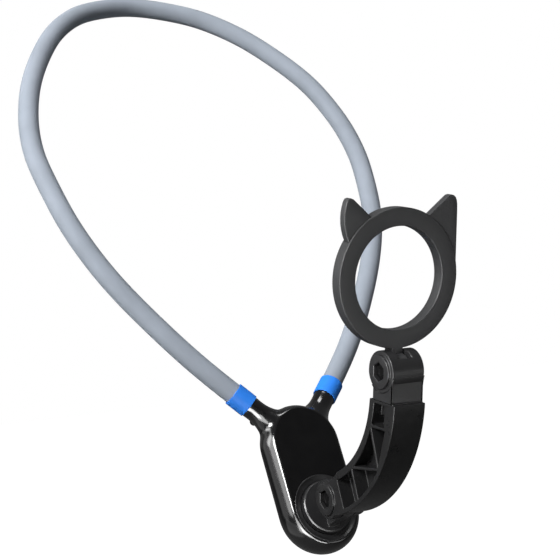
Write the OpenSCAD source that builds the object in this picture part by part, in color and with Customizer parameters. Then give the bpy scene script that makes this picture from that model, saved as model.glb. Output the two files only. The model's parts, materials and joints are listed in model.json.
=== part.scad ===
// Neck phone holder: a bendable neck loop, a chest hub with a turntable,
// a curved truss arm and a magnetic ring with two ears.
// Millimetres. The origin is the tube's centre at the nape, +Z is up as worn,
// -Y is ahead of the wearer, and the holder is symmetrical about X = 0.

/* [Neck loop] */
// Outer diameter of the soft tube
tube_d = 10.2; // [9:0.1:12]
// Diameter of the bendable core wire
wire_d = 4; // [3:0.1:4.6]
// Greatest half width of the loop, at the tube's centre
loop_half_w = 91.5; // [80:0.5:105]
// Length of the loop from the socket mouths to the nape, along the hub's face
loop_len = 248; // [220:1:280]
// How far the nape lies behind the hub's middle plane
loop_back = 44; // [30:0.5:60]

/* [Hub] */
// Lean of the hub's face from upright
hub_tilt = 33; // [20:1:45]
// Thickness of the hub
hub_t = 15; // [14:0.1:16.5]
// Outer radius of the hub's round ends
hub_r = 19.6; // [19:0.1:22]
// Distance between the centres of the hub's round ends
hub_len = 32.5; // [31:0.5:40]
// Width of the rounded rim, from the flat face's edge to the hub's side
rim_w = 3.1; // [2:0.1:3.4]
// Wall of the two shells
shell_t = 2; // [1.6:0.1:2.4]
// Angle between each socket and the hub's width
socket_angle = 47; // [44:1:52]
// Length from the upper round end's centre to the socket's mouth
socket_reach = 35; // [33:0.5:40]
// Outer radius of a socket
socket_r = 5.3; // [5.2:0.1:5.5]
// Length of each coloured collar
collar_len = 9.5; // [7:0.5:11]
// Wall of each coloured collar
collar_t = 0.5; // [0.4:0.1:0.9]

/* [Turntable] */
// Radius of the turntable's disc
disc_r = 12.2; // [11.5:0.1:12.6]
// Height of the disc's top above the hub's flat face
disc_h = 2; // [1:0.1:3]
// Radius of the turntable's shaft
shaft_r = 4; // [3.5:0.1:4.4]
// Width of the dished ring round the disc
bezel_w = 3.2; // [2.6:0.1:3.3]
// Height of the lower hinge above the hub's flat face
hinge_h = 14.8; // [14:0.1:18]

/* [Hinges] */
// Radius of the hinge barrels
barrel_r = 8.9; // [8.4:0.1:9.2]
// Width of the arm and its barrels
arm_w = 16; // [15.6:0.1:18]
// Width of the lug between the two cheeks
lug_w = 5.4; // [4.6:0.1:6]
// Thickness of each friction washer
washer_t = 0.5; // [0.4:0.1:0.7]
// Radius of the hinge screws
screw_r = 2; // [1.6:0.05:2.2]
// Width of the hinge nuts across their flats
nut_af = 7; // [6.4:0.1:7.4]
// Height of the raised boss round each nut
boss_h = 1.2; // [0.6:0.1:1.6]

/* [Arm] */
// Radius of the arm's outer curve
arm_r = 64.3; // [62:0.1:67]
// Height of the arm's top above the lower hinge
arm_rise = 52.4; // [50:0.1:55]
// How far the arm's front lies ahead of the lower hinge
arm_reach = 50.1; // [49:0.1:52]
// Depth of the arm, from its outer curve to its inner one
arm_depth = 18.2; // [17.4:0.1:18.6]
// How far the arm can tip forwards from its resting pose
arm_fold = 45; // [30:1:50]
// Thickness of the outer flange
flange_t = 2.1; // [1.8:0.1:2.4]
// Thickness of the inner flange
inner_t = 3.3; // [2.8:0.1:3.6]
// Thickness of the arm's middle web
web_t = 2.4; // [1.6:0.1:4]
// Thickness of the ribs
rib_t = 1.3; // [0.8:0.1:2]
// Height of the neck below the upper barrel's axis
neck_h = 12.7; // [11.5:0.1:15]

/* [Ring] */
// Outer radius of the magnetic ring
ring_r = 29.6; // [28.5:0.1:31]
// Radius of the hole through the ring
ring_in_r = 21.8; // [21:0.1:22.4]
// Thickness of the ring from its front to the phone's face
ring_t = 6; // [5.6:0.1:7]
// Thickness of the ears
ear_t = 3.2; // [2.6:0.1:3.8]
// Height of the ears' tips above the ring's centre
ear_h = 34; // [32.5:0.5:36]
// How far the ring can tip forwards from its resting pose
ring_fore = 40; // [20:1:60]
// How far the ring can tip backwards from its resting pose
ring_aft = 45; // [20:1:50]

/* [Hidden] */
$fn = 72;

// Fits and small clearances
fit = 0.05;
gap = 0.1;
// A cut runs past the face that it starts from by this much
over = 1;
// A cut that has to reach past everything is this large
far = 200;

// The loop's half route from the socket's mouth to the nape, as shares of
// [half width, length, lean backwards], chosen by hand
ROUTE = [[0.33, 0.105, 0.012], [0.69, 0.247, 0.06], [0.88, 0.366, 0.095],
         [0.975, 0.48, 0.17], [1, 0.568, 0.25], [0.947, 0.657, 0.33],
         [0.81, 0.754, 0.44], [0.55, 0.865, 0.645], [0.29, 0.937, 0.81],
         [0.02, 0.978, 0.925]];
// Steps of the sweep between two points of the route, and its sides
STEPS = 3;
SIDES = 14;

// The hub's places, in its own frame: x across, y up its face, z out of its
// flat face, with the turntable's axis at x = 0 and y = 0
mid_z = -hub_t / 2;
flat_r = hub_r - rim_w;
rim_r = (hub_t * hub_t / 4 + rim_w * rim_w) / (2 * rim_w);
socket_dir = [cos(socket_angle), sin(socket_angle)];
mouth_x = socket_reach * socket_dir[0];
mouth_y = hub_len + socket_reach * socket_dir[1];
nape_y = mouth_y + loop_len;
nape_z = mid_z - loop_back;
hub_y = -(nape_y * sin(hub_tilt) - nape_z * cos(hub_tilt));
hub_z = -(nape_y * cos(hub_tilt) + nape_z * sin(hub_tilt));
cavity_r = flat_r - shell_t;
wire_hole_r = wire_d / 2 + gap;
tube_hole_r = wire_d / 2 + 0.2;
spigot_r = tube_d / 2;
collar_r = spigot_r + gap + collar_t;
ferrule_len = 5;
ferrule_r = 3.2;
// The ferrules stand clear of the hollow's round end
ferrule_end = sqrt(cavity_r * cavity_r - ferrule_r * ferrule_r) - gap;
// How much wider a socket is at its root
flare = 1;
recess_d = 0.9;
well_r = disc_r + bezel_w + 0.5;
well_d = 1.8;
floor_z = -well_d - 2.4;
shaft_end = floor_z - 0.45;
retainer_r = 6.5;
retainer_t = 1;
small_screw_r = 1.5;
panel_r = flat_r - 0.6;
post_r = 2.7;
post_hole_r = 1.2;
// Where the four shell screws stand
POSTS = [for (p = [[9.6, -9.6], [10.4, hub_len - 3]]) for (s = [-1, 1]) [s * p[0], p[1]]];
// Where a socket's screw stands along its axis, and how far outside it
socket_screw_at = 23.5;
socket_screw_out = 1.5;
socket_boss_r = 1.8;
socket_boss_top = socket_r + 1;
// The heads and shanks of the shell screws and the socket screws
sink = 0.3;
shell_head_r = 2.2;
shell_head_h = 1.3;
shell_key_r = 1;
post_bite = 0.2;
socket_head_r = 1.3;
socket_head_h = 1;
socket_shank_r = 0.7;
socket_shank_len = 3.2;

// The hinge's places along X
lug_half = lug_w / 2;
slot_half = lug_half + washer_t + 2 * fit;
arm_half = arm_w / 2;
boss_r = barrel_r - 1.7;
nut_h = 2.4;
nut_floor = slot_half + 1.8;
head_r = 3.8;
head_h = 2.2;
slot_r = barrel_r + 0.4;
// The ring's lug turns inside the upper knuckle's front wall
ring_lug_r = barrel_r - 1.8;
lug_clear = 0.3;

// The lower hinge, in the object's frame
low_y = hub_y - hinge_h * cos(hub_tilt);
low_z = hub_z + hinge_h * sin(hub_tilt);
// The arm's curves, from the lower hinge: [y, z]
arm_top = arm_rise;
arc_c = [arm_r - arm_reach, arm_top + 2.5];
front_y = -arm_reach;
inner_r = arm_r - arm_depth;
back_y = front_y + arm_depth;
// Where the arm's band ends at the lower barrel, and the corner of its chamfer there
end_angle = atan2(arc_c[1], arc_c[0]) + 90;
chamfer_at = [-7.5, 13.7];
chamfer_slope = 40.7;
// The wall that closes the last pocket: its direction and distance from the hinge
wall_angle = 154;
wall_at = 12.1;
// Polar angles about the arc's centre, inner and outer end of each rib
RIBS = [[196.7, 192.8], [197.6, 211], [226, 211], [227.7, 231.5]];
// Back of the outer flange's stiffened upper stretch, as depth from the arm's
// front and height from its top
STIFF = [[7.3, 20], [7.3, -11], [6.5, -11.8], [11.2, -29.1], [20.4, -60]];
// Thickness of the arm's top wall, above its first pocket
top_t = 1.3;
// The neck between the arm and the upper barrel
step = 0.2;
neck_front = 1.6;
neck_back = 2;
tongue_x = 2.2;
tongue_len = 6;
tongue_wall = 1.2;
pin_r = 1;
pin_len = 6;
// The upper hinge, from the lower one
up_y = front_y + 10.4;
up_z = arm_top + neck_h;
// The ring's centre and front face, from the lower hinge
ring_gap = 0.4;
ring_y = up_y - 0.5;
ring_z = up_z + barrel_r + ring_gap + ring_r;

// The ring's layers, from its front face backwards
pad_t = 0.5;
cover_t = 0.8;
groove_wall = 1.3;
magnet_t = 2;
steel_t = 0.6;
magnet_count = 16;
magnet_gap = 0.8;
ear_back = 0.8;
ear_tip_r = 2.6;
ear_inner_x = 14.5;
ear_foot_y = 25.4;
ear_lean = 0.6;

// Frames
module at_hub() translate([0, hub_y, hub_z]) rotate([90 - hub_tilt, 0, 0]) children();
module at_low() translate([0, low_y, low_z]) children();
module at_up() translate([0, low_y + up_y, low_z + up_z]) children();
module at_ring() translate([0, low_y + ring_y, low_z + ring_z]) rotate([90, 0, 0]) children();
// Lays a [y, z] drawing across X, from x0 to x1
module across(x0, x1) translate([x0, 0, 0]) rotate([90, 0, 90]) linear_extrude(x1 - x0) children();
// Stands a child's z axis along a socket's axis, from the upper round end's centre
module at_socket(side) {
    translate([0, hub_len, mid_z])
        rotate([0, 0, side > 0 ? socket_angle : 180 - socket_angle])
            rotate([0, 90, 0]) children();
}
// A stadium of round ends about the hub's two centres
module stadium(r, z0, z1) {
    for (y = [0, hub_len]) translate([0, y, z0]) cylinder(r = r, h = z1 - z0);
    translate([-r, 0, z0]) cube([2 * r, hub_len, z1 - z0]);
}

// The neck loop's route and sweep
function route_point(p, side) = [
    side * (mouth_x + (loop_half_w - mouth_x) * p[0]),
    mouth_y + loop_len * p[1],
    mid_z - loop_back * p[2]];
function flip(list) = [for (i = [len(list) - 1 : -1 : 0]) list[i]];
function mouth(side) = [side * mouth_x, mouth_y, mid_z];
function along(side, d) = mouth(side) + d * [side * socket_dir[0], socket_dir[1], 0];
half_right = [for (p = ROUTE) route_point(p, 1)];
half_left = [for (p = ROUTE) route_point(p, -1)];
knots = concat([mouth(-1)], half_left, [[0, nape_y, nape_z]], flip(half_right), [mouth(1)]);
lead = 12;
guide = concat([along(-1, -lead)], knots, [along(1, -lead)]);
function spline(a, b, c, d, t) = 0.5 * (2 * b + (c - a) * t
    + (2 * a - 5 * b + 4 * c - d) * t * t + (3 * b - a - 3 * c + d) * t * t * t);
loop_path = concat(
    [for (i = [1 : len(guide) - 3]) for (k = [0 : STEPS - 1])
        spline(guide[i - 1], guide[i], guide[i + 1], guide[i + 2], k / STEPS)],
    [mouth(1)]);
wire_start = socket_reach - shell_t - 7.5;
wire_path = concat([along(-1, -wire_start)], loop_path, [along(1, -wire_start)]);
function unit(v) = v / norm(v);
function heading(path, i) = i == 0 ? unit(path[0] - along(-1, -lead - 40))
    : i == len(path) - 1 ? unit(along(1, -lead - 40) - path[i])
    : unit(path[i + 1] - path[i - 1]);
function section(path, i, r) =
    let (h = heading(path, i), s = unit(cross(h, [0, 0, 1])), w = cross(s, h))
    [for (k = [0 : SIDES - 1]) path[i] + r * (cos(360 * k / SIDES) * s + sin(360 * k / SIDES) * w)];
function walls(rings, base, out) = [for (i = [0 : rings - 2]) for (k = [0 : SIDES - 1])
    let (a = base + i * SIDES + k, b = base + i * SIDES + (k + 1) % SIDES)
    out ? [a, a + SIDES, b + SIDES, b] : [a, b, b + SIDES, a + SIDES]];
module solid_sweep(path, r) {
    n = len(path);
    polyhedron(
        [for (i = [0 : n - 1]) each section(path, i, r)],
        concat(walls(n, 0, true), [[for (k = [0 : SIDES - 1]) k],
            [for (k = [SIDES - 1 : -1 : 0]) (n - 1) * SIDES + k]]));
}
module hollow_sweep(path, r, hole_r) {
    n = len(path);
    m = n * SIDES;
    polyhedron(
        concat([for (i = [0 : n - 1]) each section(path, i, r)],
            [for (i = [0 : n - 1]) each section(path, i, hole_r)]),
        concat(walls(n, 0, true), walls(n, m, false),
            [for (k = [0 : SIDES - 1]) let (j = (k + 1) % SIDES) [k, j, m + j, m + k]],
            [for (k = [0 : SIDES - 1]) let (j = (k + 1) % SIDES, e = m - SIDES)
                [e + j, e + k, m + e + k, m + e + j]]));
}
module neck_tube() color([0.55, 0.61, 0.68]) at_hub() hollow_sweep(loop_path, tube_d / 2, tube_hole_r);
module core_wire() color([0.72, 0.73, 0.75]) at_hub() solid_sweep(wire_path, wire_d / 2);

// Crimped ends that keep the wire from pulling out of the hub
module wire_ferrules() color([0.75, 0.66, 0.4]) at_hub() for (side = [-1, 1]) at_socket(side)
    translate([0, 0, ferrule_end - ferrule_len]) difference() {
        cylinder(r = ferrule_r, h = ferrule_len);
        translate([0, 0, -over]) cylinder(r = wire_d / 2 + fit, h = ferrule_len + 2 * over);
    }

module collar(side) color([0.25, 0.56, 1]) at_hub() at_socket(side)
    translate([0, 0, socket_reach - collar_len / 2]) difference() {
        cylinder(r = collar_r, h = collar_len);
        translate([0, 0, -over]) cylinder(r = spigot_r + gap, h = collar_len + 2 * over);
    }
module collar_left() collar(-1);
module collar_right() collar(1);

// The hub's outer form, both shells together
module rim_section() intersection() {
    union() {
        translate([hub_r - rim_r, mid_z]) circle(r = rim_r);
        translate([0, -hub_t]) square([hub_r - rim_r, hub_t]);
    }
    translate([0, -hub_t]) square([hub_r + over, hub_t]);
}
module pebble() {
    translate([0, hub_len, 0]) rotate_extrude(angle = 180) rim_section();
    rotate([0, 0, 180]) rotate_extrude(angle = 180) rim_section();
    translate([0, hub_len, 0]) rotate([90, 0, 0]) linear_extrude(hub_len) {
        rim_section();
        mirror([1, 0]) rim_section();
    }
}
// A socket: a flared root, a barrel and a spigot under the collar
module socket() {
    seat = socket_reach - collar_len / 2;
    root = hub_r - rim_w - 2 * shell_t;
    rotate_extrude() polygon([[0, root], [socket_r + flare, root], [socket_r + 0.8 * flare, hub_r - 1],
        [socket_r + 0.4 * flare, hub_r + 1.5], [socket_r, hub_r + 5], [socket_r, seat],
        [spigot_r, seat], [spigot_r, socket_reach], [0, socket_reach]]);
}
module socket_boss(side) at_socket(side)
    translate([socket_boss_top, -side * socket_screw_out, socket_screw_at])
        rotate([0, -90, 0]) cylinder(r = socket_boss_r, h = socket_boss_top);
module hub_form() {
    pebble();
    for (side = [-1, 1]) {
        at_socket(side) socket();
        socket_boss(side);
    }
}
// What both shells leave free: the hollow and the two wire holes
module wire_ways() for (side = [-1, 1]) at_socket(side)
    translate([0, 0, ferrule_end - ferrule_len]) cylinder(r = wire_hole_r, h = socket_reach);
module half_space(front) translate([-far / 2, -far / 2, front ? mid_z : mid_z - far]) cube([far, far, far]);

module hub_front_shell() color([0.1, 0.1, 0.11]) at_hub() difference() {
    intersection() {
        hub_form();
        half_space(true);
    }
    difference() {
        stadium(cavity_r, mid_z - over, floor_z);
        for (p = POSTS) translate([p[0], p[1], mid_z - over]) cylinder(r = post_r, h = hub_t);
    }
    stadium(panel_r + gap, -recess_d, over);
    translate([0, 0, -well_d]) cylinder(r = well_r, h = well_d + over);
    translate([0, 0, floor_z - over]) cylinder(r = shaft_r + fit, h = hub_t);
    for (p = POSTS) translate([p[0], p[1], mid_z - over]) cylinder(r = post_hole_r, h = over + 10 * post_bite);
    wire_ways();
}
module hub_rear_shell() color([0.12, 0.12, 0.13]) at_hub() difference() {
    intersection() {
        hub_form();
        half_space(false);
    }
    difference() {
        stadium(cavity_r, -hub_t + shell_t, mid_z + over);
        for (p = POSTS) translate([p[0], p[1], -hub_t]) cylinder(r = post_r, h = hub_t);
    }
    for (p = POSTS) translate([p[0], p[1], -hub_t - over]) {
        cylinder(r = post_hole_r + gap, h = hub_t);
        cylinder(r = shell_head_r + 2 * gap, h = over + sink + shell_head_h);
    }
    for (side = [-1, 1]) socket_screw_way(side);
    wire_ways();
}
module socket_screw_way(side) at_socket(side)
    translate([socket_boss_top, -side * socket_screw_out, socket_screw_at])
        rotate([0, -90, 0]) {
            translate([0, 0, -over]) cylinder(r = socket_head_r + gap, h = over + sink + socket_head_h);
            translate([0, 0, -over])
                cylinder(r = socket_shank_r + fit, h = over + 2 * sink + socket_shank_len);
        }
module front_panel() color([0.09, 0.09, 0.1]) at_hub() difference() {
    stadium(panel_r, -recess_d, 0);
    translate([0, 0, -hub_t]) cylinder(r = well_r, h = 2 * hub_t);
}
module bezel_ring() color([0.14, 0.14, 0.15]) at_hub() rotate_extrude() polygon([
    [disc_r + 0.35, -well_d], [well_r - gap, -well_d], [well_r - gap, 0], [well_r - 0.6, 0],
    [disc_r + 1.2, -1], [disc_r + 0.35, -1]]);
module shell_screws() color([0.5, 0.5, 0.52]) at_hub()
    for (p = POSTS) translate([p[0], p[1], -hub_t + sink]) {
        difference() {
            cylinder(r = shell_head_r, h = shell_head_h);
            translate([0, 0, -over]) cylinder(r = shell_key_r, h = over + 0.6 * shell_head_h, $fn = 6);
        }
        translate([0, 0, shell_head_h]) cylinder(r = post_hole_r - fit, h = hub_t / 2 + post_bite);
    }
module socket_screws() color([0.5, 0.5, 0.52]) at_hub() for (side = [-1, 1]) at_socket(side)
    translate([socket_boss_top - sink, -side * socket_screw_out, socket_screw_at])
        rotate([0, -90, 0]) {
            cylinder(r = socket_head_r, h = socket_head_h);
            cylinder(r = socket_shank_r, h = socket_shank_len);
        }

// The turntable: disc, shaft and the lug of the lower hinge
module turntable() color([0.13, 0.13, 0.14]) at_hub() difference() {
    union() {
        rotate_extrude() polygon([[0, -well_d + fit], [disc_r - 0.4, -well_d + fit],
            [disc_r, -well_d + 0.45], [disc_r, disc_h - 0.6], [disc_r - 0.6, disc_h], [0, disc_h]]);
        translate([0, 0, shaft_end]) cylinder(r = shaft_r, h = -shaft_end);
        translate([-lug_half, 0, 0]) rotate([90, 0, 90]) linear_extrude(lug_w) {
            translate([0, hinge_h]) circle(r = barrel_r);
            polygon([[-barrel_r - 1.5, disc_h - 1], [barrel_r + 1.5, disc_h - 1],
                [barrel_r, disc_h + 1], [barrel_r, hinge_h], [-barrel_r, hinge_h], [-barrel_r, disc_h + 1]]);
        }
    }
    translate([-lug_w, 0, hinge_h]) rotate([0, 90, 0]) cylinder(r = screw_r + fit, h = 2 * lug_w);
    translate([0, 0, shaft_end - over]) cylinder(r = small_screw_r + fit, h = over - shaft_end);
}
module spring_washer() color([0.7, 0.7, 0.72]) at_hub() translate([0, 0, floor_z - 0.4]) difference() {
    cylinder(r = retainer_r - 0.3, h = 0.35);
    translate([0, 0, -over]) cylinder(r = shaft_r + 0.2, h = 3 * over);
}
module retaining_washer() color([0.7, 0.7, 0.72]) at_hub()
    translate([0, 0, shaft_end - retainer_t]) difference() {
        cylinder(r = retainer_r, h = retainer_t);
        translate([0, 0, -over]) cylinder(r = small_screw_r + fit, h = 2 * over + retainer_t);
    }
module turntable_screw() color([0.6, 0.6, 0.62]) at_hub() translate([0, 0, shaft_end - retainer_t]) {
    cylinder(r = small_screw_r, h = retainer_t - shaft_end - 0.5);
    translate([0, 0, -1.9]) difference() {
        cylinder(r = 2.8, h = 1.9);
        translate([0, 0, -over]) cylinder(r = 1.2, h = over + 1, $fn = 6);
    }
}

// Drawings of the arm, in [y, z] from the lower hinge
module slab(z1) translate([-far / 2, z1 - far]) square([far, far]);
module beyond(angle, d) rotate(angle) translate([d, -far / 2]) square([far, far]);
module arm_side() {
    circle(r = barrel_r);
    difference() {
        intersection() {
            translate(arc_c) circle(r = arm_r);
            beyond(end_angle, 0);
            slab(arm_top);
        }
        translate(arc_c) circle(r = inner_r);
        translate(chamfer_at) rotate(-chamfer_slope) square([arm_depth, arm_depth]);
    }
}
module rib(ends) {
    in_end = arc_c + (inner_r + inner_t) * [cos(ends[0]), sin(ends[0])];
    out_end = arc_c + (arm_r - flange_t) * [cos(ends[1]), sin(ends[1])];
    d = out_end - in_end;
    translate(in_end) rotate(atan2(d[1], d[0]))
        translate([-2, -rib_t / 2]) square([norm(d) + 4, rib_t]);
}
module arm_pockets() difference() {
    intersection() {
        translate(arc_c) circle(r = arm_r - flange_t);
        beyond(wall_angle, wall_at);
        slab(arm_top - top_t);
        polygon([for (p = concat(STIFF, [[130, -60], [130, 20]])) [front_y + p[0], arm_top + p[1]]]);
    }
    translate(arc_c) circle(r = inner_r + inner_t);
    for (ends = RIBS) rib(ends);
}
tongue_y = front_y + STIFF[0][0] + 1;
tongue_d = back_y - inner_t - 1 - tongue_y;
// The thickened web round the upper knuckle's tongue
module tongue_pad() across(-tongue_x - tongue_wall, tongue_x + tongue_wall)
    translate([tongue_y - tongue_wall, arm_top - tongue_len - tongue_wall])
        square([tongue_d + 2 * tongue_wall + over, tongue_len + tongue_wall + over]);
module arm_frame() color([0.11, 0.11, 0.12]) at_low() difference() {
    union() {
        across(-arm_half, arm_half) arm_side();
        across(-arm_half - boss_h, -arm_half + over) circle(r = boss_r);
    }
    difference() {
        for (s = [-1, 1]) across(min(s * web_t / 2, s * (arm_half + over)),
            max(s * web_t / 2, s * (arm_half + over))) arm_pockets();
        tongue_pad();
    }
    across(-slot_half, slot_half) circle(r = slot_r);
    across(-slot_half, slot_half) slot_way();
    hinge_ways();
    // The upper knuckle's tongue goes in here
    translate([-tongue_x - fit, tongue_y - fit, arm_top - tongue_len - fit])
        cube([2 * (tongue_x + fit), tongue_d + 2 * fit, tongue_len + over]);
    pin_way();
}
// Room for the turntable's lug, also when the arm is tipped forwards
module slot_way() {
    rotate(end_angle) translate([-far, -far / 2]) square([far, far]);
    rotate(270 - hub_tilt - arm_fold) translate([-far, 0]) square([far + slot_r, far]);
}
// Bore, nut pocket and counterbore that both hinges share
module hinge_ways() {
    across(-arm_w, arm_w) circle(r = screw_r + fit);
    across(-arm_w, -nut_floor) rotate(30) circle(r = (nut_af / 2 + gap) / cos(30), $fn = 6);
    across(arm_half - head_h - 0.3, arm_w) circle(r = head_r + 0.2);
}
module upper_knuckle() color([0.14, 0.14, 0.15]) {
    at_up() difference() {
        union() {
            across(-arm_half, arm_half) circle(r = barrel_r);
            across(-arm_half - boss_h, -arm_half + over) circle(r = boss_r);
            across(-arm_half + step, arm_half - step)
                translate([front_y + neck_front - up_y, -neck_h])
                    square([arm_depth - neck_front - neck_back, neck_h]);
        }
        across(-slot_half, slot_half) circle(r = ring_lug_r + lug_clear);
        across(-slot_half, slot_half) ring_way();
        hinge_ways();
    }
    at_low() difference() {
        translate([-tongue_x, tongue_y, arm_top - tongue_len])
            cube([2 * tongue_x, tongue_d, tongue_len + over]);
        pin_way();
    }
}
// Room for the ring's neck as it tips
module ring_way() intersection() {
    rotate(ring_fore) translate([ring_y - up_y - lug_clear, -far / 2]) square([far, far]);
    rotate(-ring_aft) translate([ring_y - up_y + ring_t - pad_t + lug_clear - far, -far / 2])
        square([far, far]);
}
// A cross pin through the inner flange holds the tongue
module pin_way() translate([0, back_y + over, arm_top - tongue_len / 2])
    rotate([90, 0, 0]) cylinder(r = pin_r + fit, h = pin_len + over);
module knuckle_pin() color([0.6, 0.6, 0.62]) at_low()
    translate([0, back_y - 0.2, arm_top - tongue_len / 2])
        rotate([90, 0, 0]) cylinder(r = pin_r, h = pin_len - 0.3);

module hinge_screw() color([0.55, 0.55, 0.57]) {
    across(-nut_floor - nut_h, arm_half - head_h - 0.3) circle(r = screw_r);
    difference() {
        across(arm_half - head_h - 0.3, arm_half - 0.3) circle(r = head_r);
        across(arm_half - 1.5, arm_half + over) circle(r = 1.6, $fn = 6);
    }
}
module hinge_nut() color([0.55, 0.55, 0.57]) across(-nut_floor - nut_h, -nut_floor) difference() {
    rotate(30) circle(r = nut_af / 2 / cos(30), $fn = 6);
    circle(r = screw_r + fit);
}
module hinge_washers(r) color([0.75, 0.75, 0.73]) for (s = [-1, 1])
    across(s > 0 ? lug_half + fit : -lug_half - fit - washer_t,
        s > 0 ? lug_half + fit + washer_t : -lug_half - fit) difference() {
        circle(r = r);
        circle(r = screw_r + fit);
    }
module lower_hinge_screw() at_low() hinge_screw();
module lower_hinge_nut() at_low() hinge_nut();
module lower_washers() at_low() hinge_washers(barrel_r - 1);
module upper_hinge_screw() at_up() hinge_screw();
module upper_hinge_nut() at_up() hinge_nut();
module upper_washers() at_up() hinge_washers(ring_lug_r - 0.5);

// The ring, in its own frame: x across, y up, z out of its front face
module ear(side) {
    tip = [side * (ring_r - ear_tip_r - ear_lean), ear_h - ear_tip_r];
    translate(tip) circle(r = ear_tip_r);
    polygon([[side * (ring_r - 5), 0], [side * ring_r, 2], [side * ring_r, ear_h - 8],
        tip + ear_tip_r * [side * cos(14), sin(14)], tip + ear_tip_r * [-side * sin(40), cos(40)],
        [side * ear_inner_x, ear_foot_y], [side * 10, 20]]);
}
module ring_housing() color([0.26, 0.26, 0.27]) difference() {
    union() {
        at_ring() {
            translate([0, 0, -ring_t + pad_t]) cylinder(r = ring_r, h = ring_t - pad_t);
            for (side = [-1, 1]) translate([0, 0, -ear_back - ear_t]) linear_extrude(ear_t) ear(side);
        }
        at_up() across(-lug_half, lug_half) {
            circle(r = ring_lug_r);
            translate([ring_y - up_y, 0]) square([ring_t - pad_t, barrel_r + ring_gap + 4]);
        }
    }
    at_ring() {
        translate([0, 0, -ring_t - over]) cylinder(r = ring_in_r, h = ring_t + 2 * over);
        translate([0, 0, -ring_t - over]) ring_band(groove_wall, over + pad_t + cover_t + magnet_t + steel_t);
    }
    at_up() across(-arm_w, arm_w) circle(r = screw_r + fit);
}
// A ring between the housing's walls, each a given distance inside them
module ring_band(inset, h) difference() {
    cylinder(r = ring_r - inset, h = h);
    translate([0, 0, -over]) cylinder(r = ring_in_r + inset, h = h + 2 * over);
}
module steel_ring() color([0.65, 0.66, 0.68]) at_ring()
    translate([0, 0, -ring_t + pad_t + cover_t + magnet_t]) ring_band(groove_wall + gap, steel_t);
module magnets() color([0.75, 0.75, 0.78]) at_ring()
    for (i = [0 : magnet_count - 1]) rotate(360 * i / magnet_count)
        translate([0, 0, -ring_t + pad_t + cover_t])
            rotate_extrude(angle = 360 / magnet_count - magnet_gap)
                translate([ring_in_r + groove_wall + gap, 0])
                    square([ring_r - ring_in_r - 2 * (groove_wall + gap), magnet_t]);
module ring_cover() color([0.2, 0.2, 0.21]) at_ring()
    translate([0, 0, -ring_t + pad_t]) ring_band(groove_wall + gap, cover_t);
module face_pad() color([0.16, 0.16, 0.17]) at_ring() translate([0, 0, -ring_t]) ring_band(0.5, pad_t);

neck_tube();
core_wire();
wire_ferrules();
collar_left();
collar_right();
hub_front_shell();
hub_rear_shell();
front_panel();
bezel_ring();
shell_screws();
socket_screws();
turntable();
spring_washer();
retaining_washer();
turntable_screw();
arm_frame();
upper_knuckle();
knuckle_pin();
lower_hinge_screw();
lower_hinge_nut();
lower_washers();
upper_hinge_screw();
upper_hinge_nut();
upper_washers();
ring_housing();
steel_ring();
magnets();
ring_cover();
face_pad();
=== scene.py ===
"""Looks of the neck phone holder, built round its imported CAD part."""

import json
import math

import bmesh
import bpy
from bpy.props import FloatProperty, FloatVectorProperty, IntProperty, PointerProperty
from mathutils import Matrix, Vector


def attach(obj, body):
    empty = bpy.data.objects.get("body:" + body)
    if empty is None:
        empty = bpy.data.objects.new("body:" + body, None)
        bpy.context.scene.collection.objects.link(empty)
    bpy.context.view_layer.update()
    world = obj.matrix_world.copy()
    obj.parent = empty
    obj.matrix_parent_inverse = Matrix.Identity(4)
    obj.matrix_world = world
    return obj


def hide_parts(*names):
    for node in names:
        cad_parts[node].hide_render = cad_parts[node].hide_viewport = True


bl_info = {
    "name": "Neck phone holder",
    "version": (1, 0, 0),
    "blender": (4, 5, 0),
    "location": "3D View > Sidebar > Neck holder",
    "description": "Builds the neck loop, hub, arm and magnetic ring of a neck phone holder",
    "category": "Object",
}

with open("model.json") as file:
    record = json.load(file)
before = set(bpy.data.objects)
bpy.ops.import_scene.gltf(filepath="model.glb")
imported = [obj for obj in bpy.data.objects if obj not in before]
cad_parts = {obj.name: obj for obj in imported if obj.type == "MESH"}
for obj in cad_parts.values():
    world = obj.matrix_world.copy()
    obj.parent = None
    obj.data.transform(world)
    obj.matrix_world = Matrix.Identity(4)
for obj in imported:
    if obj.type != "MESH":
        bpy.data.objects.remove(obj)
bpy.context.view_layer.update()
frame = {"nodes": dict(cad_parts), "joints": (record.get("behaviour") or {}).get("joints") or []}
JOINTS = {joint["name"]: joint for joint in frame["joints"]}
MM = 0.001


def corner_frame(origin, x, y, z):
    """A matrix whose columns are three directions and an origin."""
    m = Matrix.Identity(4)
    for column, v in enumerate((x, y, z, origin)):
        for row in range(3):
            m[row][column] = v[row]
    return m


def hub_frame():
    """The hub's frame: x across, y up its face, z out of its flat face."""
    turn = JOINTS["turntable_turn"]
    z = Vector(turn["axis"]).normalized()
    x = Vector((1, 0, 0))
    return corner_frame(Vector(turn["pos_m"]), x, z.cross(x), z)


HUB = hub_frame()
UP = Matrix.Translation(JOINTS["ring_tilt"]["pos_m"])

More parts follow.
